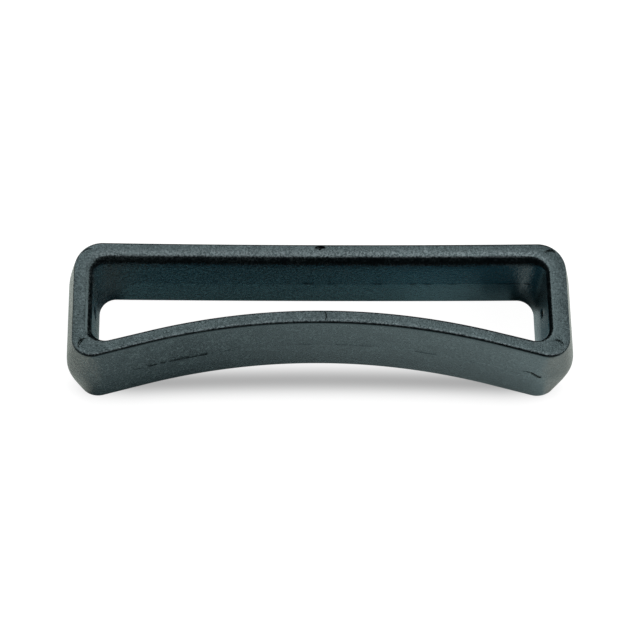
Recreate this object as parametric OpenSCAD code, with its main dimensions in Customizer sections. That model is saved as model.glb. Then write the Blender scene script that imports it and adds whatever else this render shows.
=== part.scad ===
// Belt loop keeper: one moulded loop that holds down the free end of a belt.
// Millimetres. The origin is on the floor, below the middle of the loop's box.
// +X runs along the width, +Y towards the straight long bar, +Z up, along the opening.

/* [Overall size] */
// Width over the short sides, at the parting line
body_w = 58; // [57:0.5:70]
// Height of the loop, measured along the belt
body_h = 16.8; // [8:0.2:24]
// Depth from the near corners to the straight bar, at the parting line
body_d = 14; // [13:0.1:18]

/* [Bars] */
// Thickness of the straight bar at its rims
far_bar_t = 1.6; // [1.2:0.1:2]
// Thickness of the arched bar at its rims
near_bar_t = 1.5; // [1.2:0.1:1.8]
// Thickness of the short sides at their rims
side_t = 2.6; // [2:0.1:2.7]
// Radius of the arched bar's outer wall
arch_r = 83; // [60:0.5:83]
// Rise of the arched bar's straight ends over a run of 24
end_rise = 7; // [4:0.5:7]

/* [Corners] */
// Outer radius of the two corners at the straight bar, at the rims
far_corner_r = 3.2; // [2.5:0.1:4]
// Outer radius of the two corners at the arched bar, at the rims
near_corner_r = 2.3; // [1.8:0.1:2.8]
// Radius of the opening's corners at the straight bar, at the rims
far_inner_r = 1.9; // [1.5:0.1:2.5]
// Radius of the opening's corners at the arched bar, at the rims
near_inner_r = 1.6; // [1.4:0.1:1.7]

/* [Walls and rims] */
// How far the outer walls lean out from a rim to the parting line
outer_lean = 0.5; // [0.2:0.05:0.6]
// How far the inner walls lean in from a rim to the parting line
inner_lean = 0.3; // [0.1:0.05:0.5]
// Radius of the outer edges of both rims
outer_rim_r = 0.3; // [0.1:0.05:0.4]
// Radius of the inner edges of both rims
inner_rim_r = 0.6; // [0.2:0.05:0.7]

/* [Ejector marks] */
// Radius of the round marks that the ejector pins leave on the upper rim
pin_r = 0.75; // [0.5:0.05:0.9]
// Depth of those marks
pin_depth = 0.08; // [0.05:0.01:0.2]

/* [View] */
// Sub-part to draw

/* [Hidden] */
$fn = 96;
end_run = 24;
// Depth of the band of wall that each strip below carries
band = 1;
// How far the cutting body runs past both rims
past = 0.5;
charcoal = [0.20, 0.23, 0.24];

// Where the arch turns into its straight ends, as a unit vector from the arch's centre
end_len = norm([end_rise, end_run]);
end_dir = [end_rise, end_run] / end_len;

// Outer outline at the rims, right half: side wall, corner centres and arch
out_x = body_w / 2 - outer_lean;
out_far_y = body_d / 2 - outer_lean;
out_near_c = [out_x - near_corner_r, near_corner_r - out_far_y];
out_far_c = [out_x - far_corner_r, out_far_y - far_corner_r];
out_reach = arch_r + near_corner_r;
out_end_l = (out_near_c.x - out_reach * end_dir.x) / end_dir.y;
arch_c = [0, out_near_c.y - out_reach * end_dir.y + out_end_l * end_dir.x];
arch_top_y = arch_c.y + arch_r;

// Outline of the opening at the rims, right half
in_x = out_x - side_t;
in_far_y = out_far_y - far_bar_t;
in_far_c = [in_x - far_inner_r, in_far_y - far_inner_r];
in_arch_r = arch_r + near_bar_t;
in_reach = in_arch_r + near_inner_r;
in_near_x = in_x - near_inner_r;
in_near_c = [in_near_x, arch_c.y + (in_reach - in_near_x * end_dir.x) / end_dir.y];
in_end_l = (in_near_x - in_reach * end_dir.x) / end_dir.y;

// Ejector marks, as x and y: two near corners, two far corners, two bar middles
pin_near = [out_x - 2.1, out_near_c.y - 1.1];
pin_far = [out_x - 2.4, out_far_y - 1.25];
pins = [
    pin_near,
    [-pin_near.x, pin_near.y],
    pin_far,
    [-pin_far.x, pin_far.y],
    [0, arch_top_y + near_bar_t / 2],
    [0, out_far_y - far_bar_t / 2]
];

// Section of an outer wall's band: x is 0 at the rim's unrounded edge and grows outwards, y is the height
module outer_section() {
    r = outer_rim_r;
    z = body_h - r;
    polygon([
        [-band, body_h], [-r, body_h], [-r, z], [0, z],
        [outer_lean, body_h / 2],
        [0, r], [-r, r], [-r, 0], [-band, 0]
    ]);
    for (h = [r, z])
        translate([-r, h])
            circle(r);
}

// Section of the cutting body's band at an inner wall: x grows outwards, into the material
module inner_section() {
    r = inner_rim_r;
    z = body_h - r;
    top = body_h + past;
    difference() {
        polygon([
            [-band, top], [r, top], [r, z], [0, z],
            [-inner_lean, body_h / 2],
            [0, r], [r, r], [r, -past], [-band, -past]
        ]);
        for (h = [r, z])
            translate([r, h])
                circle(r);
    }
}

// Straight band on the far wall or a side: starts at p, its wall faces the angle a, and it runs l along a - 90
module straight_band(p, a, l) {
    translate([p.x, p.y, 0])
        rotate([0, 0, a])
            rotate([90, 0, 0])
                linear_extrude(l)
                    children();
}

// Sector of a round band about c, between the directions d0 and d1, which are less than 180 degrees apart
module round_band(c, r, d0, d1) {
    k = 4 * ceil(r);
    translate([c.x, c.y, 0])
        intersection() {
            rotate_extrude()
                translate([r, 0])
                    children();
            translate([0, 0, -2 * past])
                linear_extrude(body_h + 4 * past)
                    polygon([[0, 0], k * d0, k * (d0 + d1), k * d1]);
        }
}

// Arched band about the arch's centre, whose wall faces that centre, with its two straight ends of length l
module arch_band(r, l) {
    left = [-end_dir.x, end_dir.y];
    round_band(arch_c, r, end_dir, left)
        mirror([1, 0])
            children();
    for (side = [0, 1])
        mirror([side, 0, 0])
            translate([arch_c.x, arch_c.y, 0])
                rotate([0, 0, -atan2(end_rise, end_run)])
                    straight_band([l, r], -90, l)
                        children();
}

// Points along an arc about c, of radius r, from angle a0 to a1
function arc(c, r, a0, a1, steps) = [
    for (i = [0 : steps])
        let (a = a0 + (a1 - a0) * i / steps)
            c + r * [cos(a), sin(a)]
];

// Core that the bands surround, for the same outline, from z0 to z1
module core(near_c, near_r, far_c, far_r, r, z0, z1) {
    inset = band / 2;
    end_a = atan2(end_rise, end_run);
    half = concat(
        arc(arch_c, r + inset, 90, 90 - end_a, 8),
        arc(near_c, near_r - inset, 270 - end_a, 360, 6),
        arc(far_c, far_r - inset, 0, 90, 6)
    );
    other = [for (i = [len(half) - 1 : -1 : 1]) [-half[i].x, half[i].y]];
    translate([0, 0, z0])
        linear_extrude(z1 - z0)
            polygon(concat(half, other));
}

// Body with a leaning wall all round: x of the sides, y of the far wall, the near and far corners as
// centre and radius, the arch's radius and the length of its straight ends
module leaning_wall(x, far_y, near_c, near_r, far_c, far_r, r, end_l) {
    arch_band(r, end_l)
        children();
    straight_band([-far_c.x, far_y], 90, 2 * far_c.x)
        children();
    for (side = [0, 1])
        mirror([side, 0, 0]) {
            round_band(near_c, near_r, -end_dir, [1, 0])
                children();
            straight_band([x, far_c.y], 0, far_c.y - near_c.y)
                children();
            round_band(far_c, far_r, [1, 0], [0, 1])
                children();
        }
}

module outer_body() {
    core(out_near_c, near_corner_r, out_far_c, far_corner_r, arch_r, 0, body_h);
    leaning_wall(out_x, out_far_y, out_near_c, near_corner_r, out_far_c, far_corner_r, arch_r, out_end_l)
        outer_section();
}

module opening() {
    core(in_near_c, near_inner_r, in_far_c, far_inner_r, in_arch_r, -past, body_h + past);
    leaning_wall(in_x, in_far_y, in_near_c, near_inner_r, in_far_c, far_inner_r, in_arch_r, in_end_l)
        inner_section();
}

module loop_frame() {
    color(charcoal)
        difference() {
            outer_body();
            opening();
            for (p = pins)
                translate([p.x, p.y, body_h - pin_depth])
                    cylinder(r = pin_r, h = 1);
        }
}

loop_frame();
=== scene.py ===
"""Belt loop keeper: one moulded loop of matte charcoal plastic, lying on a pale floor."""
import math
from collections import namedtuple

import bpy
import numpy as np
from mathutils import Matrix, Vector


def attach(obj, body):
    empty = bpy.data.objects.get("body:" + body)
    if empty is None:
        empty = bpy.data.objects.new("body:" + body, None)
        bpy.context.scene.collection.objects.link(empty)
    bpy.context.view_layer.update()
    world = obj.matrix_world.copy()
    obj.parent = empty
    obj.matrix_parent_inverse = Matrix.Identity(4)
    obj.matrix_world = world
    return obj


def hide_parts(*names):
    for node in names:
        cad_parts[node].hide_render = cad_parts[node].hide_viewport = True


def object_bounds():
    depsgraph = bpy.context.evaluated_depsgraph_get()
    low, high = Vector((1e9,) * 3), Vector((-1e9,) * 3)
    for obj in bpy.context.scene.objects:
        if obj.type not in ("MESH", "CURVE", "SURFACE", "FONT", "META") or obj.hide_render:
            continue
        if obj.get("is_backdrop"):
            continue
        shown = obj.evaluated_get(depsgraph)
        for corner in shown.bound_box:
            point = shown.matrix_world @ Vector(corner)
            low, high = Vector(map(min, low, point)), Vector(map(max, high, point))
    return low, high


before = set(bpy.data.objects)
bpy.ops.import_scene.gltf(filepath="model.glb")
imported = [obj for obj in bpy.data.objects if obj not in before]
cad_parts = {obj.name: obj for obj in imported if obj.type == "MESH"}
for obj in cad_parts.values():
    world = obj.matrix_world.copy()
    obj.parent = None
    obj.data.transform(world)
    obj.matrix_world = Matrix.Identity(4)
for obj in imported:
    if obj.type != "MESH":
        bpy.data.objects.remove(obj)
CAD_LOW, CAD_HIGH = (Vector(corner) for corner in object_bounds())
MM = 0.001

# All lengths of the loop, its plastic and the floor are in millimetres, and Y is measured from the middle of
# the loop's depth. A pair in the two outlines is for the right and the left half.

# Outer outline at the rims: sides, straight bar, corners, and the arc of the arched bar. The bow is how far
# the straight bar's middle is drawn towards the arched bar.
HALF_WIDTH = (28.01, 28.01)
FAR_Y = 6.77
FAR_CORNER_R = (3.1, 3.15)
FAR_BOW = 0.18
NEAR_CORNER_R = (2.42, 2.24)
ARCH_TOP_Y = -2.70
ARCH_R = 79.7
ARCH_HALF = 20.47

# Outline of the opening at the rims
OPEN_HALF_WIDTH = (25.63, 25.97)
OPEN_SHIFT_X = 0.1
OPEN_FAR_Y = 5.06
OPEN_FAR_R = 1.92
OPEN_FAR_BOW = 0.1
OPEN_NEAR_R = (1.5, 1.6)
OPEN_ARCH_TOP_Y = -1.2
OPEN_ARCH_R = 80.0
OPEN_ARCH_HALF = 19.5

# How much narrower each half gets per millimetre of Y at its side, and the Y where it has its plain width
TAPER = (0.035, 0.015)
TAPER_FROM_Y = (-0.6, -2.5)

# Height of the loop and of its parting line
HEIGHT = (CAD_HIGH.z - CAD_LOW.z) / MM
PARTING = 0.524 * HEIGHT

# How far a wall leans out from a rim to the parting line: far wall, side walls, near wall, and more at the
# corners. The opening's far wall leans less above the parting line than below.
OUTER_LEAN = (0.22, 0.99, 0.22, 0.37)
INNER_LEAN = (0.58, 0.11, 0.52, 0.0)
INNER_LEAN_ABOVE = (0.03, 0.11, 0.52, 0.0)
# What the right side adds to its lean, and the near right corner
RIGHT_SIDE_LEAN = 0.08
RIGHT_NEAR_LEAN = -0.18
# How far the opening's far wall bends back towards the upper rim, and the height where the bend starts
INNER_FLARE = (0.26, 0.0, 0.0)
FLARE_FROM = 14.4

# Half height of the outer wall's round turn at the parting line: far wall, side walls, near wall, corners
TURN_HALF = (0.0, 1.6, 0.0, 1.6)

# Radii of the rims' edges at the far wall, the sides and the near wall
OUTER_RIM_R = (0.20, 0.10, 0.30)
INNER_RIM_R = (0.68, 0.80, 0.20)
LOWER_INNER_RIM_R = (0.35, 0.35, 0.20)
# How much less than this the radius of the opening's upper edge is at the right side, and more at the left
INNER_RIM_SKEW = 0.20

# Crown of the upper rim and the slope that it has at its edges, in degrees
CROWN = 0.018
CROWN_SLOPE = 4.0

# Round marks of the ejector pins on the upper rim. The columns are x, y, radius, depth in the middle,
# how much deeper one side is, the direction of that side in degrees, the width of the groove there, and how
# deep the groove is, from 0 to 1.
Mark = namedtuple("Mark", "x y r depth deeper direction groove share")
PIN_MARKS = [
    Mark(-26.63, -5.32, 0.77, 0.02, 0.02, 150, 0.34, 1.0),
    Mark(26.62, -5.40, 0.80, 0.0, 0.01, 50, 0.20, 0.8),
    Mark(0.02, -1.87, 0.68, 0.0, 0.02, 5, 0.22, 1.0),
    Mark(-0.08, 5.84, 0.73, 0.03, 0.01, 92, 0.68, 1.0),
    Mark(26.10, 5.28, 0.80, 0.0, 0.02, 88, 0.26, 1.0),
    Mark(-26.34, 5.31, 0.80, 0.0, 0.01, 110, 0.22, 0.6),
]
# Width of a mark's wall away from its groove
MARK_WALL = 0.06
# Points closer than this to a mark's middle count as that far from it, so that no distance is 0
MARK_LEAST_GAP = 1e-9
# Greatest depth of a groove over its width, and how fast that depth grows towards the groove's direction
GROOVE_SLOPE = 0.42
GROOVE_GROWTH = 2.0
# How fast the painted shade in a groove sets in from both of its sides
GROOVE_EDGE = 7.0
# How hollow a groove counts, where a dent counts 1. Both are painted black as shade, and only a dent is fully
# rough.
GROOVE_HOLLOW = 0.6

# Short dents on the walls near the parting line. The columns are x, y, height above the parting line,
# half length, half height, depth, rise of the dent per length, and whether it is on the outer wall.
Dent = namedtuple("Dent", "x y above half_l half_h depth rise on_outer")
DENTS = [
    Dent(-25.9, 0.20, 1.9, 0.66, 1.3, 0.16, -0.3, False),
    Dent(25.6, 0.40, 1.6, 0.62, 1.0, 0.10, -0.8, False),
    Dent(24.85, -6.6, 0.75, 0.70, 0.34, 0.12, -0.9, True),
    Dent(23.75, -6.35, 1.30, 0.50, 0.13, 0.05, 0.1, True),
]
# How square a dent's outline is, where 2 is an ellipse, and how steep its edge is
DENT_SQUARE = 4
DENT_EDGE = 2.0
# How far from a wall's outline at the rims the points in that wall's dents lie at most
WALL_REACH = 0.6

# Light scratch across the straight bar: x, half width, strength, and how far down from the top it reaches
SCRATCH_X = 11.85
SCRATCH_HALF = 0.12
SCRATCH_SHARE = 0.9
SCRATCH_DOWN = 0.6

# Stretches where the seam of the mould stands proud. The columns are the first and last x, the height of the
# seam, and whether it is on the outer wall of the arched bar or the opening's far wall.
SEAMS = [
    (-21.8, -20.1, 0.060, True),
    (-19.95, -18.55, 0.125, True),
    (-18.45, -17.6, 0.125, True),
    (-17.5, -12.7, 0.150, True),
    (-12.65, -12.1, 0.095, True),
    (-11.5, -9.6, 0.060, True),
    (-2.6, -0.6, 0.025, True),
    (1.0, 6.0, 0.030, True),
    (11.0, 13.9, 0.050, True),
    (15.8, 18.6, 0.030, True),
    (21.6, 23.4, 0.030, True),
    (-1.9, -0.5, 0.035, False),
    (0.9, 2.2, 0.030, False),
    (5.9, 7.7, 0.035, False),
    (10.1, 11.4, 0.035, False),
    (12.0, 13.2, 0.045, False),
    (14.6, 16.2, 0.030, False),
    (20.7, 23.3, 0.045, False),
    (23.7, 25.0, 0.060, False),
]
# Height of the seam between those stretches, half its width, and how far a stretch takes to rise at its ends
SEAM_LEAST = 0.006
SEAM_HALF = 0.05
SEAM_END = 0.3

# Names of the values at the mesh's points that the plastic reads
WEAR_AND_HIGHLIGHT = "wear_and_highlight"
HOLLOW = "hollow"
# Wear with a painted highlight on the upper rim's edges at the far wall, the sides and the near wall, and how
# far it reaches across the rim and round the edge
OUTER_WEAR_AND_HIGHLIGHT = (0.1, 0.1, 0.6)
OUTER_WEAR_AND_HIGHLIGHT_REACH = (0.28, 0.08)
INNER_WEAR_AND_HIGHLIGHT = (1.0, 0.1, 0.15)
INNER_WEAR_AND_HIGHLIGHT_REACH = (0.55, 0.16)

# Sections in each stretch of an outline before the refinement, and how often they are halved at most
BASE_STEPS = (40, 10, 20, 20, 24, 44)
REFINE_ROUNDS = 5
# Largest step at marks and dents, and how far past them the close sections reach
FINE_STEP = 0.06
SPOT_MARGIN = 0.16
# Where the dashed seam needs close sections: x, y and reach on the outer wall, and the largest step there
SEAM_CLOSE = (-16.2, -4.55, 4.6)
SEAM_STEP = 0.2
# Reach of the close sections at the scratch and their largest step, in half widths of the scratch
SCRATCH_CLOSE = 3.0
SCRATCH_STEP = 0.5

# Steps across a section: roundings of the rims, flat of the upper and of the lower rim
ROUND_OUTER = 6
ROUND_INNER = 10
FLAT_UPPER = 24
FLAT_LOWER = 3
# Where the upper flat's steps are closer: samples to measure it, how much closer, and the reach past a groove
FLAT_SAMPLES = 240
MARK_DENSITY = 5.0
MARK_REACH = 0.1
# Heights of the rows of a wall, from the parting line, and shares of the rest of each half
NEAR_PARTING = (0.0, 0.035, 0.07, 0.11, 0.16, 0.23, 0.32, 0.45)
WALL_SHARES = (0.12, 0.35, 0.6, 0.75, 0.83, 0.91)
# Heights above the parting line of closer rows for the dents, on the outer wall and on the opening's wall
OUTER_DENT_ROWS = (0.55, 0.65, 0.75, 0.85, 0.95, 1.05, 1.15, 1.24, 1.42, 1.55, 1.72)
INNER_DENT_ROWS = (0.75, 1.05, 1.35, 1.65, 1.95, 2.25, 2.6)


def smooth(x):
    """Soft step from 0 to 1 as x goes from 0 to 1."""
    x = np.clip(x, 0.0, 1.0)
    return x * x * (3.0 - 2.0 * x)


class Outline:
    """Right half of a closed outline, in six stretches from the arch's middle to the far bar's middle.

    A place on it is a number from 0 to 6: its whole part names the stretch, its fraction the place along it.
    """

    STRETCHES = 6

    def __init__(self, half_width, far_y, far_r, far_bow, near_r, arch_top_y, arch_r, arch_half):
        up, left = np.array([0.0, 1.0]), np.array([-1.0, 0.0])
        self.far_bow = far_bow
        self.far_middle = np.array([0.0, far_y])
        self.arch_c = np.array([0.0, arch_top_y - arch_r])
        self.arch_r = arch_r
        self.arch_a = math.asin(arch_half / arch_r)
        self.arch_end = self.arch_c + arch_r * np.array([math.sin(self.arch_a), math.cos(self.arch_a)])
        along = np.array([math.cos(self.arch_a), -math.sin(self.arch_a)])
        near_corner = self.arch_end + along * (half_width - self.arch_end[0]) / along[0]
        self.near = self.fillet(near_corner, along, up, near_r)
        self.far = self.fillet(np.array([half_width, far_y]), up, left, far_r)

    @staticmethod
    def fillet(corner, into, out, r):
        """Centre, radius, first angle and turn of the arc that rounds a corner to the left."""
        turn = math.acos(float(into @ out))
        start = corner - into * r * math.tan(turn / 2)
        centre = start + r * np.array([-into[1], into[0]])
        dx, dy = start - centre
        return centre, r, math.atan2(dy, dx), turn

    @staticmethod
    def on_arc(arc, t):
        """Points and outward normals at shares t of an arc."""
        centre, r, first, turn = arc
        a = first + turn * t
        out = np.stack([np.cos(a), np.sin(a)], -1)
        return centre + r * out, out

    @staticmethod
    def on_line(a, b, t):
        """Points and outward normals at shares t of a line."""
        run = b - a
        out = np.array([run[1], -run[0]]) / np.linalg.norm(run)
        return a + t[:, None] * run, np.tile(out, (len(t), 1))

    def on_arch(self, t):
        """Points and outward normals at shares t of the half arch."""
        a = self.arch_a * t
        out = np.stack([np.sin(a), np.cos(a)], -1)
        return self.arch_c + self.arch_r * out, -out

    def at(self, place):
        """Points and outward normals at an array of places."""
        part = np.minimum(place.astype(int), self.STRETCHES - 1)
        t = place - part
        ends = np.array([0.0, 1.0])
        (near_0, near_1), (far_0, far_1) = self.on_arc(self.near, ends)[0], self.on_arc(self.far, ends)[0]
        stretches = [
            self.on_arch(t),
            self.on_line(self.arch_end, near_0, t),
            self.on_arc(self.near, t),
            self.on_line(near_1, far_0, t),
            self.on_arc(self.far, t),
            self.on_line(far_1, self.far_middle, t),
        ]
        p, n = np.zeros((len(t), 2)), np.zeros((len(t), 2))
        for k, (points, normals) in enumerate(stretches):
            p[part == k], n[part == k] = points[part == k], normals[part == k]
        last = part == self.STRETCHES - 1
        p[last, 1] -= self.far_bow * (1.0 - (p[last, 0] / far_1[0]) ** 2)
        return p, n


OUTER = [
    Outline(half_width, FAR_Y, far_r, FAR_BOW, near_r, ARCH_TOP_Y, ARCH_R, ARCH_HALF)
    for half_width, far_r, near_r in zip(HALF_WIDTH, FAR_CORNER_R, NEAR_CORNER_R)
]
OPENING = [
    Outline(
        half_width, OPEN_FAR_Y, OPEN_FAR_R, OPEN_FAR_BOW,
        near_r, OPEN_ARCH_TOP_Y, OPEN_ARCH_R, OPEN_ARCH_HALF,
    )
    for half_width, near_r in zip(OPEN_HALF_WIDTH, OPEN_NEAR_R)
]
ROUND_TRIP = 2 * Outline.STRETCHES


def both_outlines(place):
    """Points and normals of both outlines at places from 0 to 12, the left half backwards from 6 on."""
    left = place > Outline.STRETCHES
    folded = np.where(left, ROUND_TRIP - place, place)
    made = []
    for halves, shift in ((OUTER, 0.0), (OPENING, OPEN_SHIFT_X)):
        p, n = halves[0].at(folded)
        p[left], n[left] = halves[1].at(folded[left])
        p[left, 0] *= -1
        n[left, 0] *= -1
        p[:, 0] += shift
        from_y = np.where(left, TAPER_FROM_Y[1], TAPER_FROM_Y[0])
        taper = np.where(left, TAPER[1], TAPER[0]) * (p[:, 1] - from_y)
        p[:, 0] *= 1.0 - taper / HALF_WIDTH[0]
        made += [p, n]
    return made


def distance_to_section(spot, outer, inner):
    """How far a spot is from each section's line, and the share of the line where it is closest."""
    run = inner - outer
    t = np.clip(((spot - outer) * run).sum(1) / (run * run).sum(1), 0.0, 1.0)
    return np.linalg.norm(outer + t[:, None] * run - spot, axis=1), t


def section_places():
    """Places of the sections round the loop, closer together at marks, dents, the scratch and the seam."""
    half = [k + i / n for k, n in enumerate(BASE_STEPS) for i in range(n)]
    places = np.array(half + [Outline.STRETCHES] + [ROUND_TRIP - h for h in half[:0:-1]])
    spots = [(mark.x, mark.y, mark.r + SPOT_MARGIN, FINE_STEP) for mark in PIN_MARKS]
    spots += [(dent.x, dent.y, dent.half_l + SPOT_MARGIN, FINE_STEP) for dent in DENTS]
    spots.append((*SEAM_CLOSE, SEAM_STEP))
    spots.append((SCRATCH_X, FAR_Y, SCRATCH_CLOSE * SCRATCH_HALF, SCRATCH_STEP * SCRATCH_HALF))
    for _ in range(REFINE_ROUNDS):
        ends = np.append(places, ROUND_TRIP)
        middles = (ends[:-1] + ends[1:]) / 2
        outer, _, inner, _ = both_outlines(ends)
        outer_step = np.linalg.norm(np.diff(outer, axis=0), axis=1)
        inner_step = np.linalg.norm(np.diff(inner, axis=0), axis=1)
        outer, _, inner, _ = both_outlines(middles)
        split = np.zeros(len(places), bool)
        for x, y, reach, most in spots:
            gap, t = distance_to_section(np.array([x, y]), outer, inner)
            step = outer_step * (1 - t) + inner_step * t
            split |= (gap < reach + step / 2) & (step > most)
        places = np.sort(np.append(places, middles[split]))
    return places


def diagonal_share(n):
    """From 0 on a long bar or a short side to 1 where a normal points halfway between, at a corner."""
    return 4 * n[:, 0] ** 2 * n[:, 1] ** 2


def by_normal(n, at_far, at_side, at_near, at_corner=0.0):
    """Blend of the values for the far wall, the sides and the near wall, and what corners add to it."""
    long_share, side_share = n[:, 1] ** 2, n[:, 0] ** 2
    at_long = np.where(n[:, 1] > 0, at_far, at_near)
    return at_long * long_share + at_side * side_share + at_corner * diagonal_share(n)


def seam_height(p, outer_wall):
    """How far the mould's seam stands proud at each section."""
    height = np.full(len(p), SEAM_LEAST)
    front = (p[:, 1] < 0) == outer_wall
    for first, last, rise, on_outer in SEAMS:
        if on_outer == outer_wall:
            height += front * rise * smooth(np.minimum(p[:, 0] - first, last - p[:, 0]) / SEAM_END)
    return height


def dent_share(dent, p, n, z):
    """From 0 outside a dent to 1 in its middle, at the sections and at height z."""
    gap = p - [dent.x, dent.y]
    along = gap[:, 0] * -n[:, 1] + gap[:, 1] * n[:, 0]
    off = z - (PARTING + dent.above + dent.rise * along)
    inside = 1.0 - (along / dent.half_l) ** DENT_SQUARE - (off / dent.half_h) ** DENT_SQUARE
    close = np.linalg.norm(gap, axis=1) < dent.half_l + SPOT_MARGIN
    return close * smooth(DENT_EDGE * inside)


class Wall:
    """One wall of the loop, outer or the opening's, from its outline at the rims."""

    def __init__(self, p, n, is_outer):
        self.p, self.n, self.is_outer = p, n, is_outer
        if is_outer:
            self.lean = by_normal(n, *OUTER_LEAN)
            self.lean += RIGHT_SIDE_LEAN * (p[:, 0] > 0) * n[:, 0] ** 2
            self.lean += RIGHT_NEAR_LEAN * (p[:, 0] > ARCH_HALF) * (n[:, 1] < 0) * diagonal_share(n)
            self.lean_above = self.lean
            self.rim_r = self.lower_rim_r = by_normal(n, *OUTER_RIM_R)
            self.flare, self.turn = 0.0, by_normal(n, *TURN_HALF)
        else:
            self.lean, self.lean_above = by_normal(n, *INNER_LEAN), by_normal(n, *INNER_LEAN_ABOVE)
            self.rim_r = by_normal(n, *INNER_RIM_R) - INNER_RIM_SKEW * n[:, 0] * np.abs(n[:, 0])
            self.lower_rim_r = by_normal(n, *LOWER_INNER_RIM_R)
            self.flare, self.turn = by_normal(n, *INNER_FLARE), 0.0
        self.seam = seam_height(p, is_outer)
        self.dents = [dent for dent in DENTS if dent.on_outer == is_outer]

    def row(self, z, inset=0.0):
        """Points of the wall at height z, drawn into the material by inset."""
        room = np.where(z < PARTING, PARTING, HEIGHT - PARTING)
        share = (np.hypot(z - PARTING, self.turn) - self.turn) / (np.hypot(room, self.turn) - self.turn)
        out = self.lean - np.where(z < PARTING, self.lean, self.lean_above) * share - inset
        out -= self.flare * np.clip((z - FLARE_FROM) / (HEIGHT - FLARE_FROM), 0.0, 1.0) ** 2
        out += self.seam * np.exp(-(((z - PARTING) / SEAM_HALF) ** 2))
        for dent in self.dents:
            out -= dent.depth * dent_share(dent, self.p, self.n, z)
        side = 1.0 if self.is_outer else -1.0
        xy = self.p + side * self.n * out[:, None]
        return np.column_stack([xy, np.broadcast_to(z, len(xy))])

    def rounding(self, steps, upper):
        """Rows of the rim's rounded edge, from the wall to the rim, which is crowned on the upper side."""
        slope = math.radians(CROWN_SLOPE) if upper else 0.0
        r = self.rim_r if upper else self.lower_rim_r
        rows = []
        for a in np.linspace(0, math.pi / 2 - slope, steps + 1):
            down = r * (math.cos(slope) - math.sin(a)) + (CROWN if upper else 0.0)
            z = HEIGHT - down if upper else down
            rows.append(self.row(z, r * (1 - math.cos(a))))
        return rows

    @staticmethod
    def offsets(room, extra=()):
        """Distances of a half's rows from the parting line, for the height that it has up to its rounding."""
        last = NEAR_PARTING[-1]
        spread = [last + (room - last) * share for share in WALL_SHARES]
        return sorted([*NEAR_PARTING, *spread, *extra], key=np.max)

    def flank(self):
        """Rows between the two roundings, from the lower to the upper one."""
        below = self.offsets(PARTING - self.lower_rim_r)
        dent_rows = OUTER_DENT_ROWS if self.is_outer else INNER_DENT_ROWS
        above = self.offsets(HEIGHT - PARTING - self.rim_r - CROWN, dent_rows)
        return [self.row(PARTING - h) for h in below[:0:-1]] + [self.row(PARTING + h) for h in above]


def mark_place(mark, p):
    """Where points lie on an ejector mark.

    The values are the distance along its direction, the share of the way across its wall or groove, how wide
    that is, and how much of the groove's full depth it has there.
    """
    a = math.radians(mark.direction)
    dx, dy = p[..., 0] - mark.x, p[..., 1] - mark.y
    gap = np.maximum(np.hypot(dx, dy), MARK_LEAST_GAP)
    along = dx * math.cos(a) + dy * math.sin(a)
    side = np.clip(along / gap, 0.0, 1.0) ** 2
    width = MARK_WALL + (mark.groove - MARK_WALL) * side
    return along, (mark.r - gap) / width, width, mark.share * smooth(GROOVE_GROWTH * side)


def mark_surface(p):
    """Sets the height of points of the upper rim to that of the ejector marks, where one is."""
    for mark in PIN_MARKS:
        along, into, width, share = mark_place(mark, p)
        inside = np.clip(into, 0.0, 1.0)
        ground = np.minimum(HEIGHT - mark.depth - mark.deeper * along / mark.r, p[:, 2])
        p[:, 2] = p[:, 2] * (1 - inside) + ground * inside
        p[:, 2] -= GROOVE_SLOPE * width * share * np.clip(1.0 - np.abs(2.0 * into - 1.0), 0.0, 1.0)
    return p


def flat_shares(a, b):
    """Shares of the way across the upper rim, closer together at the rims of the marks, for each section."""
    t = np.linspace(0, 1, FLAT_SAMPLES)
    p = a[:, None, :2] + t[None, :, None] * (b - a)[:, None, :2]
    density = np.ones(p.shape[:2])
    for mark in PIN_MARKS:
        gap = np.hypot(p[..., 0] - mark.x, p[..., 1] - mark.y)
        off_groove = (gap - mark.r + mark.groove / 2) / (MARK_REACH + mark.groove / 2)
        density += MARK_DENSITY * np.exp(-(off_groove ** 2))
    total = np.cumsum(density, 1)
    total = (total - total[:, :1]) / (total[:, -1:] - total[:, :1])
    wanted = np.linspace(0, 1, FLAT_UPPER + 1)[1:-1]
    return np.array([np.interp(wanted, row, t) for row in total])


def edge_wear_and_highlight(rows, edge, is_outer, share, reach):
    """Wear and painted highlight at all points: the share at each section on the row that is the edge, and
    less away from it.
    """
    gap = np.linalg.norm(rows - rows[edge], axis=2)
    number = np.arange(len(rows))[:, None]
    across = number > edge if is_outer else number < edge
    return share * np.exp(-((gap / np.where(across, *reach)) ** 2))


def groove_share(rows):
    """How far points lie in the grooves of the ejector marks, from 0 to 1."""
    share = np.zeros(rows.shape[:2])
    for mark in PIN_MARKS:
        _, into, _, depth = mark_place(mark, rows)
        across = np.clip(GROOVE_EDGE * np.minimum(into, 1.0 - into), 0.0, 1.0)
        share = np.maximum(share, depth * across * (rows[..., 2] > HEIGHT / 2))
    return share


def hollow_share(rows, walls):
    """From 0 outside the dents and grooves to 1 in the middle of a dent, for all points."""
    share = GROOVE_HOLLOW * groove_share(rows)
    for wall in walls:
        on_wall = np.linalg.norm(rows[..., :2] - wall.p, axis=2) < WALL_REACH
        for dent in wall.dents:
            dented = np.array([dent_share(dent, wall.p, wall.n, row[:, 2]) for row in rows])
            share = np.maximum(share, on_wall * dented)
    return share


def scratch_share(rows):
    """How strong the scratch across the straight bar is, for all points."""
    on_bar = (rows[..., 1] > OPEN_FAR_Y) * (rows[..., 2] > HEIGHT - SCRATCH_DOWN)
    return SCRATCH_SHARE * on_bar * np.exp(-(((rows[..., 0] - SCRATCH_X) / SCRATCH_HALF) ** 2))


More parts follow.
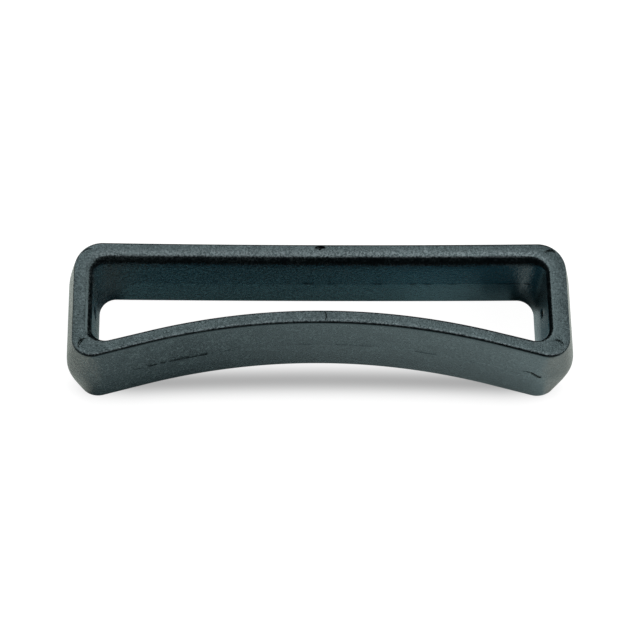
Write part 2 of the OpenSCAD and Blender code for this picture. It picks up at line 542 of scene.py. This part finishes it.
def loop_surface():
    """Rows of the loop's surface, up the outer wall, over the upper rim, down the opening and back below.

    The second value is the wear with its painted highlight at the same points, from 0 to 1, and the third
    value how hollow they are.
    """
    outer_p, outer_n, inner_p, inner_n = both_outlines(section_places())
    outer = Wall(outer_p, outer_n, True)
    inner = Wall(inner_p, inner_n, False)
    over = outer.rounding(ROUND_OUTER, True)
    down = inner.rounding(ROUND_INNER, True)[::-1]
    across = []
    for share in flat_shares(over[-1], down[0]).T:
        row = over[-1] + share[:, None] * (down[0] - over[-1])
        row[:, 2] += CROWN * (1 - (2 * share - 1) ** 2)
        across.append(row)
    top = [mark_surface(row) for row in over + across + down]
    under_in = inner.rounding(ROUND_OUTER, False)
    under_out = outer.rounding(ROUND_OUTER, False)[::-1]
    below = [under_in[-1] + (under_out[0] - under_in[-1]) * k / FLAT_LOWER for k in range(1, FLAT_LOWER)]
    up = under_out + outer.flank()
    rows = np.array(up + top + inner.flank()[::-1] + under_in + below)
    outer_edge = len(up) + len(over) - 1
    inner_edge = outer_edge + len(across) + 1
    # Wear along the rim's edges, which also paints a highlight there, and the scratch
    worn_and_highlit = edge_wear_and_highlight(rows, outer_edge, True, by_normal(outer_n, *OUTER_WEAR_AND_HIGHLIGHT), OUTER_WEAR_AND_HIGHLIGHT_REACH)
    worn_and_highlit += edge_wear_and_highlight(rows, inner_edge, False, by_normal(inner_n, *INNER_WEAR_AND_HIGHLIGHT), INNER_WEAR_AND_HIGHLIGHT_REACH)
    worn_and_highlit += scratch_share(rows)
    return rows, worn_and_highlit, hollow_share(rows, (outer, inner))


def make_loop():
    """The moulded loop as one closed mesh."""
    rows, worn_and_highlit, hollow = loop_surface()
    n_rows, n_sections = rows.shape[:2]
    r, s = np.meshgrid(np.arange(n_rows), np.arange(n_sections), indexing="ij")
    r_next, s_next = (r + 1) % n_rows, (s + 1) % n_sections
    quads = np.stack([
        r * n_sections + s,
        r * n_sections + s_next,
        r_next * n_sections + s_next,
        r_next * n_sections + s,
    ], -1).reshape(-1, 4)
    mesh = bpy.data.meshes.new("loop_body")
    mesh.from_pydata((rows.reshape(-1, 3) * MM).tolist(), [], quads.tolist())
    mesh.polygons.foreach_set("use_smooth", np.ones(len(quads), bool))
    for name, values in ((WEAR_AND_HIGHLIGHT, np.clip(worn_and_highlit, 0.0, 1.0)), (HOLLOW, hollow)):
        mesh.attributes.new(name, "FLOAT", "POINT").data.foreach_set("value", values.ravel())
    mesh.update()
    piece = bpy.data.objects.new("loop_body", mesh)
    bpy.context.scene.collection.objects.link(piece)
    return piece


class Shader:
    """Short calls that add and link the nodes of one material or world."""

    def __init__(self, owner):
        owner.use_nodes = True
        self.tree = owner.node_tree
        self.tree.nodes.clear()

    def add(self, kind, **values):
        """Adds a node. A value whose name is a property sets it, and any other one sets or links an input."""
        made = self.tree.nodes.new("ShaderNode" + kind)
        for key, value in values.items():
            if hasattr(made, key):
                setattr(made, key, value)
        for key, value in values.items():
            if not hasattr(made, key):
                self.feed(made, key, value)
        return made

    def feed(self, made, key, value):
        """Sets or links one input, named by its words with _ for a space, or by i and its number."""
        by_number = key[0] == "i" and key[1:].isdigit()
        socket = made.inputs[int(key[1:])] if by_number else made.inputs[key.replace("_", " ")]
        if isinstance(value, bpy.types.NodeSocket):
            self.tree.links.new(value, socket)
        else:
            socket.default_value = value

    def math(self, operation, *values, clamp=False):
        """Result of one operation on numbers."""
        inputs = {f"i{k}": v for k, v in enumerate(values)}
        return self.add("Math", operation=operation, use_clamp=clamp, **inputs).outputs[0]

    def plus(self, a, b):
        """Sum of two numbers."""
        return self.math("ADD", a, b)

    def minus(self, a, b):
        """The first number less the second."""
        return self.math("SUBTRACT", a, b)

    def times(self, first, *others):
        """Product of two or more numbers."""
        for other in others:
            first = self.math("MULTIPLY", first, other)
        return first

    def times_plus(self, a, b, c):
        """The product of a and b, plus c."""
        return self.math("MULTIPLY_ADD", a, b, c)

    def rest(self, share):
        """What a share leaves of 1."""
        return self.minus(1.0, share)

    def mix(self, share, a, b):
        """Colour between a and b."""
        return self.add("Mix", data_type="RGBA", i0=share, i6=a, i7=b).outputs[2]

    def mix_value(self, share, a, b):
        """Number between a and b."""
        return self.add("Mix", data_type="FLOAT", i0=share, i2=a, i3=b).outputs[0]

    def ramp(self, value, low, high):
        """0 at low and on its far side, 1 at high and on its far side, soft between."""
        made = self.add("MapRange", interpolation_type="SMOOTHSTEP", Value=value, From_Min=low, From_Max=high)
        return made.outputs[0]

    def noise(self, vector, scale, detail, roughness):
        """Soft random value at a place."""
        return self.add("TexNoise", Vector=vector, Scale=scale, Detail=detail, Roughness=roughness).outputs[0]

    def place(self):
        """Place on the object, in millimetres."""
        metres = self.add("TexCoord").outputs["Object"]
        return self.add("VectorMath", operation="SCALE", i0=metres, Scale=1 / MM).outputs[0]

    def parts(self, vector):
        """X, Y and Z of a vector."""
        made = self.add("SeparateXYZ", Vector=vector)
        return made.outputs[0], made.outputs[1], made.outputs[2]


# Below, a pair for a ramp says where it is 0 and where it is 1, and the values of a noise are its scale,
# detail and roughness.

# Black, for the painted shade in the dents and the grooves of the ejector marks, and white
HOLLOW_SHADE = (0.0, 0.0, 0.0, 1.0)
WHITE = (1.0, 1.0, 1.0, 1.0)

# How smooth the plastic gets to the right, by X
SMOOTH_X = (-4.0, 20.0)
SMOOTH_MOST = 0.7
# Z of the normal from the walls to the rims
RIM_NORMAL_Z = (0.3, 0.6)

# Painted shade on the rounded edges of the upper rim: their height, Z of the normal away from the walls and
# away from the rim's flat, X of the normal from which the whole flank of an edge at a side is shaded, how far
# the normal may point outwards at a side, and how strong the painted shade is and its colour
EDGE_Z = (HEIGHT - 1.3, HEIGHT - 0.6)
OFF_WALL_NORMAL_Z = (0.02, 0.12)
OFF_FLAT_NORMAL_Z = (0.99, 0.93)
EDGE_SIDE_NORMAL_X = (0.05, 0.42)
EDGE_OUTWARD = (0.3, 0.1)
EDGE_SHADE_SHARE = 0.8
EDGE_SHADE_COLOUR = (0.0, 0.0003, 0.0004, 1.0)

# Light and dark patches: those of the rims, those of the walls, which are drawn out upwards, and wide ones
# mixed into both
PATCH_NOISE = (4.2, 3.0, 0.75)
WALL_DRAWN = (1.0, 1.0, 0.5)
WALL_PATCH_NOISE = (3.4, 3.0, 0.75)
TONE_NOISE = (0.5, 3.0, 0.6)
TONE_SHARE = 0.25
PATCH_RANGE = (0.45, 0.65)
# How far smooth plastic is even, and how light it is then
EVEN_SHARE = 0.4
EVEN_LIGHT = 0.42
# How much lighter the loop is at the far left, and how much darker its rims are to the right
FAR_LEFT_X = (12.0, -12.0)
FAR_LEFT_Y = (0.0, 5.0)
FAR_LEFT_LIGHT = 0.09
RIGHT_RIM_X = (-5.0, 7.0)
RIGHT_RIM_LIGHT = -0.17
# On the walls the patches are lighter than on the rims: partly for more contrast in their grain, and partly
# painted light, which brightens the walls as the light from the floor does
RIM_LIGHT = (0.100, 0.130, 0.136, 1.0)
RIM_DARK = (0.0015, 0.0050, 0.0070, 1.0)
WALL_LIGHT = (0.130, 0.160, 0.164, 1.0)
WALL_DARK = (0.016, 0.023, 0.026, 1.0)

# Worn edges with a painted highlight: their light specks, how strong those are, how strong the wear is
# between them, and its colour
WEAR_NOISE = (4.0, 3.0, 0.7)
WEAR_RANGE = (0.45, 0.6)
WEAR_SPECKS = 1.6
WEAR_BETWEEN = 0.15
WORN_AND_HIGHLIT_COLOUR = (0.150, 0.175, 0.185, 1.0)

# Grain in the surface: fine and coarse on the rims, and one noise on the walls
FINE_NOISE = (6.5, 2.0, 0.6)
COARSE_NOISE = (2.8, 3.0, 0.6)
COARSE_SHARE = 2.0
RIM_GRAIN = 0.75
WALL_NOISE = (3.2, 3.0, 0.7)
WALL_GRAIN = 4.0
# How much of the grain the edges with painted shade lose: at the far bar, and what the near bar adds, by Y
CALM_FAR = 0.5
CALM_NEAR = 0.4
CALM_Y = (2.0, -1.0)
# Streaks in the smooth plastic, along Y on the walls of the short sides and along X elsewhere
STREAK_NOISE = (1.0, 2.0, 0.5)
STREAK_ALONG_X = (0.2, 5.0, 5.0)
STREAK_ALONG_Y = (5.0, 0.2, 5.0)
STREAK_NORMAL_X = (0.5, 0.8)
STREAK_SHARE = 0.6
# Height of the grain and the streaks where their value is 1
RELIEF = 0.05

# Roughness of dark or smooth plastic, what light and grainy plastic adds, and the tint and refraction of its
# gloss
ROUGH_LEAST = 0.13
ROUGH_MORE = 0.26
GLOSS_TINT = (0.72, 0.97, 1.0, 1.0)
GLOSS_IOR = 1.5


class Plastic(Shader):
    """Matte charcoal plastic with the fine grain of an eroded mould, smoother and streaked to the right."""

    def __init__(self, material):
        super().__init__(material)
        self.mm = self.place()
        self.x, self.y, self.z = self.parts(self.mm)
        self.normal_x, _, self.normal_z = self.parts(self.add("NewGeometry").outputs["Normal"])
        self.on_rim = self.ramp(self.normal_z, *RIM_NORMAL_Z)
        self.on_wall = self.rest(self.on_rim)
        self.smoothness = self.times(self.ramp(self.x, *SMOOTH_X), SMOOTH_MOST)
        self.graininess = self.rest(self.smoothness)
        # The rounded edges of the upper rim, which get painted shade
        self.edge = self.painted_shade_edge()
        self.drawn = self.stretched(WALL_DRAWN)
        self.hollow = self.add("Attribute", attribute_name=HOLLOW).outputs["Fac"]

    def stretched(self, factors):
        """Place with each of its parts times a factor, which draws a noise out where the factor is small."""
        return self.add("VectorMath", operation="MULTIPLY", i0=self.mm, i1=factors).outputs[0]

    def painted_shade_edge(self):
        """Share of the rounded edges of the upper rim that get painted shade, and 0 on the outside of the
        short sides.
        """
        at_top = self.ramp(self.z, *EDGE_Z)
        off_wall = self.ramp(self.normal_z, *OFF_WALL_NORMAL_Z)
        rounded = self.times(off_wall, self.ramp(self.normal_z, *OFF_FLAT_NORMAL_Z))
        sideways = self.ramp(self.math("ABSOLUTE", self.normal_x), *EDGE_SIDE_NORMAL_X)
        rounded = self.math("MAXIMUM", rounded, self.times(sideways, off_wall))
        outward = self.times(self.normal_x, self.math("DIVIDE", self.x, HALF_WIDTH[0]))
        return self.times(at_top, rounded, self.ramp(outward, *EDGE_OUTWARD))

    def patches(self):
        """How light the patches of the plastic are: 0 is dark and 1 is light."""
        on_rims = self.noise(self.mm, *PATCH_NOISE)
        on_walls = self.noise(self.drawn, *WALL_PATCH_NOISE)
        small = self.mix_value(self.on_wall, on_rims, on_walls)
        wide = self.noise(self.mm, *TONE_NOISE)
        light = self.times_plus(wide, TONE_SHARE, self.times(small, 1.0 - TONE_SHARE))
        light = self.ramp(light, *PATCH_RANGE)
        even = self.times(self.smoothness, EVEN_SHARE)
        light = self.times_plus(light, self.rest(even), self.times(even, EVEN_LIGHT))
        far_left = self.times(self.ramp(self.x, *FAR_LEFT_X), self.ramp(self.y, *FAR_LEFT_Y))
        light = self.times_plus(far_left, FAR_LEFT_LIGHT, light)
        right_rim = self.times(self.ramp(self.x, *RIGHT_RIM_X), self.on_rim)
        return self.times_plus(right_rim, RIGHT_RIM_LIGHT, light)

    def colour(self, light):
        """Colour for the lightness of the patches, painted shade on the edges and in the hollows, and wear
        with a painted highlight.
        """
        light_colour = self.mix(self.on_wall, RIM_LIGHT, WALL_LIGHT)
        dark_colour = self.mix(self.on_wall, RIM_DARK, WALL_DARK)
        colour = self.mix(light, dark_colour, light_colour)
        # Painted shade on the rounded edges of the upper rim
        colour = self.mix(self.times(self.edge, EDGE_SHADE_SHARE), colour, EDGE_SHADE_COLOUR)
        # Wear with a painted highlight along the rim's edges, and the scratch
        worn_and_highlit = self.add("Attribute", attribute_name=WEAR_AND_HIGHLIGHT).outputs["Fac"]
        specks = self.times(self.ramp(self.noise(self.mm, *WEAR_NOISE), *WEAR_RANGE), WEAR_SPECKS)
        worn_and_highlit = self.math("MULTIPLY", worn_and_highlit, self.plus(specks, WEAR_BETWEEN), clamp=True)
        colour = self.mix(worn_and_highlit, colour, WORN_AND_HIGHLIT_COLOUR)
        # Painted shade, black, in the dents and the grooves of the ejector marks
        return self.mix(self.math("DIVIDE", self.hollow, GROOVE_HOLLOW, clamp=True), colour, HOLLOW_SHADE)

    def relief(self):
        """Height of the grain and the streaks, as a multiple of RELIEF."""
        fine, coarse = self.noise(self.mm, *FINE_NOISE), self.noise(self.mm, *COARSE_NOISE)
        on_rims = self.times_plus(coarse, COARSE_SHARE, fine)
        on_rims = self.times(on_rims, self.times(self.on_rim, RIM_GRAIN))
        on_walls = self.times(self.noise(self.drawn, *WALL_NOISE), self.on_wall, WALL_GRAIN)
        grain = self.plus(on_rims, on_walls)
        calm = self.times(self.edge, self.times_plus(self.ramp(self.y, *CALM_Y), CALM_NEAR, CALM_FAR))
        grain = self.times(grain, self.times(self.graininess, self.rest(calm)))
        at_side = self.ramp(self.math("ABSOLUTE", self.normal_x), *STREAK_NORMAL_X)
        along_x = self.noise(self.stretched(STREAK_ALONG_X), *STREAK_NOISE)
        along_y = self.noise(self.stretched(STREAK_ALONG_Y), *STREAK_NOISE)
        streaks = self.times(self.mix_value(at_side, along_x, along_y), self.smoothness)
        return self.times_plus(streaks, STREAK_SHARE, grain)

    def roughness(self, light):
        """Roughness for the lightness of the patches, full in the dents."""
        rough = self.times_plus(self.times(light, self.graininess), ROUGH_MORE, ROUGH_LEAST)
        return self.math("MAXIMUM", rough, self.ramp(self.hollow, GROOVE_HOLLOW, 1.0))


def plastic():
    """The loop's material."""
    material = bpy.data.materials.new("charcoal_plastic")
    s = Plastic(material)
    light = s.patches()
    bump = s.add("Bump", Strength=1.0, Distance=RELIEF * MM, Height=s.relief())
    shade = s.add(
        "BsdfPrincipled", Base_Color=s.colour(light), Roughness=s.roughness(light), Normal=bump.outputs[0],
        Specular_Tint=GLOSS_TINT, IOR=GLOSS_IOR,
    )
    s.add("OutputMaterial", Surface=shade.outputs[0])
    return material


# Soft shadow in front of the arched bar, as the photograph shows it: Y of its middle, how far its ends bend
# to the front, how wide and how long it is to either side, where it fades out, as a share of that length,
# and how dark it is
SHADOW_Y = -4.72
SHADOW_BEND = 0.8
SHADOW_SPREAD = 1.10
SHADOW_HALF_X = 29.0
SHADOW_FADE = (0.72, 1.08)
SHADOW_DARK = 0.59
# How bright the floor that the camera sees is by itself, and its grey under the lights
FLOOR_WHITE = 0.98
FLOOR_GREY = (0.2, 0.2, 0.2, 1.0)

# Lines that part the floor: the arched bar's middle line, with its Y in the middle and how far to the front
# it bends at BAR_BEND_X, and the range over which the floor changes there, at the straight bar and at the
# sides
BAR_LINE_Y = -1.95
BAR_BEND = 0.16
BAR_BEND_X = 5.0
BAR_LINE = (-0.3, 0.3)
STRAIGHT_LINE = (6.1, 5.5)
SIDE_LINE = (27.1, 26.5)

# Colours of the light that the floor throws on the loop: beside it, before it and close before it, by the
# distance from the arched bar's middle line
SIDE_COLOUR = (0.76, 0.81, 0.75, 1.0)
FRONT_COLOUR = (0.72, 0.90, 0.92, 1.0)
FRONT_NEAR_COLOUR = (0.38, 0.53, 0.55, 1.0)
FRONT_NEAR = (-4.5, -2.0)
# Inside the opening, and there close to the straight bar, which begins further back at the right
INSIDE_COLOUR = (0.12, 0.48, 0.64, 1.0)
INSIDE_FAR_COLOUR = (0.45, 0.86, 0.94, 1.0)
INSIDE_FAR_Y = (1.5, 3.2)
RIGHT_X = (19.0, 20.0)
RIGHT_FAR_SHIFT = 1.6
# At the opening's ends, by distance from the middle, which begin further out towards the front
END_COLOUR = (0.53, 0.74, 0.76, 1.0)
END_X = (23.8, 24.7)
END_SHIFT = 0.4
END_SHIFT_Y = (2.6, 1.0)
# At the left end, and close to the straight bar there
LEFT_END_COLOUR = (0.44, 0.57, 0.52, 1.0)
LEFT_FAR_COLOUR = (0.06, 0.14, 0.19, 1.0)
LEFT_END_X = (-22.5, -24.0)
LEFT_FAR_Y = (2.0, 4.2)

# What glows in the floor: before the arched bar and more to the right
FRONT_GLOW = (0.12, 0.145, 0.145, 1.0)
FRONT_GLOW_X = (-18.0, 4.0)
# At the opening's ends, more at the right one, and not close to the straight bar
END_GLOW = (0.27, 0.33, 0.335, 1.0)
END_GLOW_X = (-80.0, 22.0)
END_GLOW_Y = (4.5, 3.3)
# At the foot of the straight bar to the right, and in its place from RIGHT_X on, up to the corner
FOOT_GLOW = (0.045, 0.075, 0.082, 1.0)
FOOT_X = (8.0, 16.0)
FOOT_Y = (-0.5, 4.2)
CORNER_X = (23.3, 22.5)
CORNER_Y = (3.4, 4.0)
# Beside the left side
LEFT_GLOW = (0.21, 0.23, 0.21, 1.0)
LEFT_GLOW_X = (-26.8, -27.4)


def floor_seen(s, x, y):
    """What the camera sees of the floor: even white with a soft shadow in front of the arched bar."""
    along = s.math("DIVIDE", x, SHADOW_HALF_X)
    bend = s.times(along, along, SHADOW_BEND)
    off = s.math("DIVIDE", s.plus(s.minus(y, SHADOW_Y), bend), SHADOW_SPREAD)
    bell = s.math("POWER", math.e, s.times(off, off, -0.5))
    ends = s.rest(s.ramp(s.math("ABSOLUTE", along), *SHADOW_FADE))
    shadow = s.times(bell, ends, SHADOW_DARK)
    seen = s.add("Emission", Color=WHITE, Strength=s.minus(FLOOR_WHITE, shadow))
    lit = s.add("BsdfDiffuse", Color=FLOOR_GREY)
    return s.add("AddShader", i0=seen.outputs[0], i1=lit.outputs[0]).outputs[0]


class FloorParts:
    """Shares of the floor's parts, which light the loop differently, and the distance from the bar's line."""

    def __init__(self, s, x, y):
        bent = s.math("DIVIDE", x, BAR_BEND_X)
        self.off_bar = s.plus(s.minus(y, BAR_LINE_Y), s.times(bent, bent, BAR_BEND))
        off_middle = s.math("ABSOLUTE", x)
        between = s.ramp(off_middle, *SIDE_LINE)
        behind = s.ramp(self.off_bar, *BAR_LINE)
        self.before = s.rest(behind)
        self.front = s.times(self.before, between)
        self.inside = s.times(behind, s.ramp(y, *STRAIGHT_LINE), between)
        end_from = s.times(s.ramp(y, *END_SHIFT_Y), END_SHIFT)
        self.end = s.ramp(s.minus(off_middle, end_from), *END_X)
        self.right = s.ramp(x, *RIGHT_X)


def floor_colour(s, x, y, parts):
    """Colour of the light that the floor throws on the loop, cooler inside the opening."""
    near = s.ramp(parts.off_bar, *FRONT_NEAR)
    front_colour = s.mix(near, FRONT_COLOUR, FRONT_NEAR_COLOUR)
    colour = s.mix(parts.front, SIDE_COLOUR, front_colour)
    far_from = s.times(parts.right, RIGHT_FAR_SHIFT)
    far_share = s.ramp(s.minus(y, far_from), *INSIDE_FAR_Y)
    inside_colour = s.mix(far_share, INSIDE_COLOUR, INSIDE_FAR_COLOUR)
    inside_colour = s.mix(parts.end, inside_colour, END_COLOUR)
    left_colour = s.mix(s.ramp(y, *LEFT_FAR_Y), LEFT_END_COLOUR, LEFT_FAR_COLOUR)
    inside_colour = s.mix(s.ramp(x, *LEFT_END_X), inside_colour, left_colour)
    return s.mix(parts.inside, colour, inside_colour)


def floor_glows(s, x, y, parts):
    """Colours that glow in the floor, each with its share."""
    front = s.times(parts.before, s.ramp(x, *FRONT_GLOW_X))
    end = s.times(parts.inside, parts.end, s.ramp(x, *END_GLOW_X), s.ramp(y, *END_GLOW_Y))
    foot = s.times(s.ramp(x, *FOOT_X), s.ramp(y, *FOOT_Y))
    corner = s.times(s.ramp(x, *CORNER_X), s.ramp(y, *CORNER_Y))
    foot = s.times(parts.inside, s.mix_value(parts.right, foot, corner))
    left = s.ramp(x, *LEFT_GLOW_X)
    return (FRONT_GLOW, front), (END_GLOW, end), (FOOT_GLOW, foot), (LEFT_GLOW, left)


def floor_reflected(s, x, y):
    """What lights the loop from below: a pale floor, cooler inside the opening and brighter at the right."""
    parts = FloorParts(s, x, y)
    made = s.add("BsdfDiffuse", Color=floor_colour(s, x, y, parts))
    for colour, share in floor_glows(s, x, y, parts):
        glow = s.add("Emission", Color=colour, Strength=share)
        made = s.add("AddShader", i0=made.outputs[0], i1=glow.outputs[0])
    return made.outputs[0]


def floor_material():
    """Pale floor, one way for the camera and another way for the light that it throws on the loop."""
    material = bpy.data.materials.new("pale_floor")
    s = Shader(material)
    x, y, _ = s.parts(s.place())
    is_camera = s.add("LightPath").outputs["Is Camera Ray"]
    made = s.add("MixShader", i0=is_camera, i1=floor_reflected(s, x, y), i2=floor_seen(s, x, y))
    s.add("OutputMaterial", Surface=made.outputs[0])
    return material


# Half side of the floor, in metres, and its corners in half sides
FLOOR_HALF = 3.0
FLOOR_CORNERS = ((-1, -1), (1, -1), (1, 1), (-1, 1))


def make_floor():
    """The floor under the loop, which belongs to the stage."""
    mesh = bpy.data.meshes.new("floor")
    corners = [(x * FLOOR_HALF, y * FLOOR_HALF, CAD_LOW.z) for x, y in FLOOR_CORNERS]
    mesh.from_pydata(corners, [], [range(len(corners))])
    floor = bpy.data.objects.new("floor", mesh)
    bpy.context.scene.collection.objects.link(floor)
    floor.data.materials.append(floor_material())
    floor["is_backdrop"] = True


# The camera looks down on the loop from the front. Angles are in degrees and lengths in metres, the sensor's
# width is in millimetres, and the focal length and the photograph's width are in pixels.
PHOTO_SIDE = 640
VIEW_ELEVATION = 73.227
VIEW_AZIMUTH = 4.395
VIEW_ROLL = 4.342
VIEW_DISTANCE = 353.99 * MM
FOCAL_PIXELS = 3060.6
SENSOR = 36.0
CLIP_START = 0.01
# The middle of the loop, at half its height, and where it lies in the photograph
CENTRE = Vector((0.0, 0.119 * MM, (CAD_LOW.z + CAD_HIGH.z) / 2))
CENTRE_U, CENTRE_V = 319.268, 320.395


def make_camera():
    """The camera, where the photograph was taken from."""
    e, a, r = (math.radians(v) for v in (VIEW_ELEVATION, VIEW_AZIMUTH, VIEW_ROLL))
    ahead = Vector((math.sin(a) * math.cos(e), math.cos(a) * math.cos(e), -math.sin(e)))
    level = Vector((math.cos(a), -math.sin(a), 0.0))
    down = -level.cross(ahead)
    right = math.cos(r) * level - math.sin(r) * down
    down = math.sin(r) * level + math.cos(r) * down
    off_x, off_y = ((v - PHOTO_SIDE / 2) / FOCAL_PIXELS * VIEW_DISTANCE for v in (CENTRE_U, CENTRE_V))
    camera = bpy.data.objects.new("camera", bpy.data.cameras.new("camera"))
    bpy.context.scene.collection.objects.link(camera)
    turn = Matrix((right, -down, -ahead)).transposed().to_4x4()
    where = CENTRE - ahead * VIEW_DISTANCE - right * off_x - down * off_y
    camera.matrix_world = Matrix.Translation(where) @ turn
    camera.data.sensor_width = SENSOR
    camera.data.lens = FOCAL_PIXELS * SENSOR / PHOTO_SIDE
    camera.data.clip_start = CLIP_START
    bpy.context.scene.camera = camera


# Softboxes round the loop. The columns are the name, the angle from straight up, the direction from +X
# anticlockwise, the half angle that the softbox fills, all three in degrees, and its radiance.
SOFTBOXES = [
    ("main", 22, 102, 21, 1.25),
    ("main_left", 32, 115, 14, 1.8),
    ("overhead", 10, 95, 10, 2.1),
    ("back_right", 48, 30, 15, 3.4),
    ("high_right", 32, 345, 12, 3.4),
]
# Distance of the softboxes from the loop, in metres, and the light of the dim room
SOFTBOX_DISTANCE = 0.6
ROOM_LIGHT = (0.8, 0.95, 1.0, 1.0)
ROOM_STRENGTH = 0.03


def make_softbox(name, tilt, heading, half_angle, radiance):
    """Square light that faces the loop, as bright as a surface of that radiance."""
    t, h = math.radians(tilt), math.radians(heading)
    away = Vector((math.sin(t) * math.cos(h), math.sin(t) * math.sin(h), math.cos(t)))
    light = bpy.data.lights.new(name, "AREA")
    light.shape = "SQUARE"
    light.size = 2 * SOFTBOX_DISTANCE * math.tan(math.radians(half_angle))
    light.energy = radiance * math.pi * light.size ** 2
    lamp = bpy.data.objects.new(name, light)
    bpy.context.scene.collection.objects.link(lamp)
    lamp.location = CENTRE + away * SOFTBOX_DISTANCE
    lamp.rotation_euler = away.to_track_quat("Z", "Y").to_euler()
    lamp.visible_camera = False


def make_world():
    """The camera sees a plain pale room, and the object is lit by its dim walls."""
    world = bpy.data.worlds.new("room")
    bpy.context.scene.world = world
    s = Shader(world)
    dim = s.add("Background", Color=ROOM_LIGHT, Strength=ROOM_STRENGTH)
    pale = s.add("Background", Color=WHITE, Strength=1.0)
    is_camera = s.add("LightPath").outputs["Is Camera Ray"]
    made = s.add("MixShader", i0=is_camera, i1=dim.outputs[0], i2=pale.outputs[0])
    s.add("OutputWorld", Surface=made.outputs[0])


def light_scene():
    """All lights, and colours shown as they are."""
    for softbox in SOFTBOXES:
        make_softbox(*softbox)
    make_world()
    bpy.context.scene.view_settings.view_transform = "Standard"


make_camera()
make_floor()
loop = make_loop()
loop.data.materials.append(plastic())
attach(loop, "root")
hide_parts("loop_frame")
light_scene()
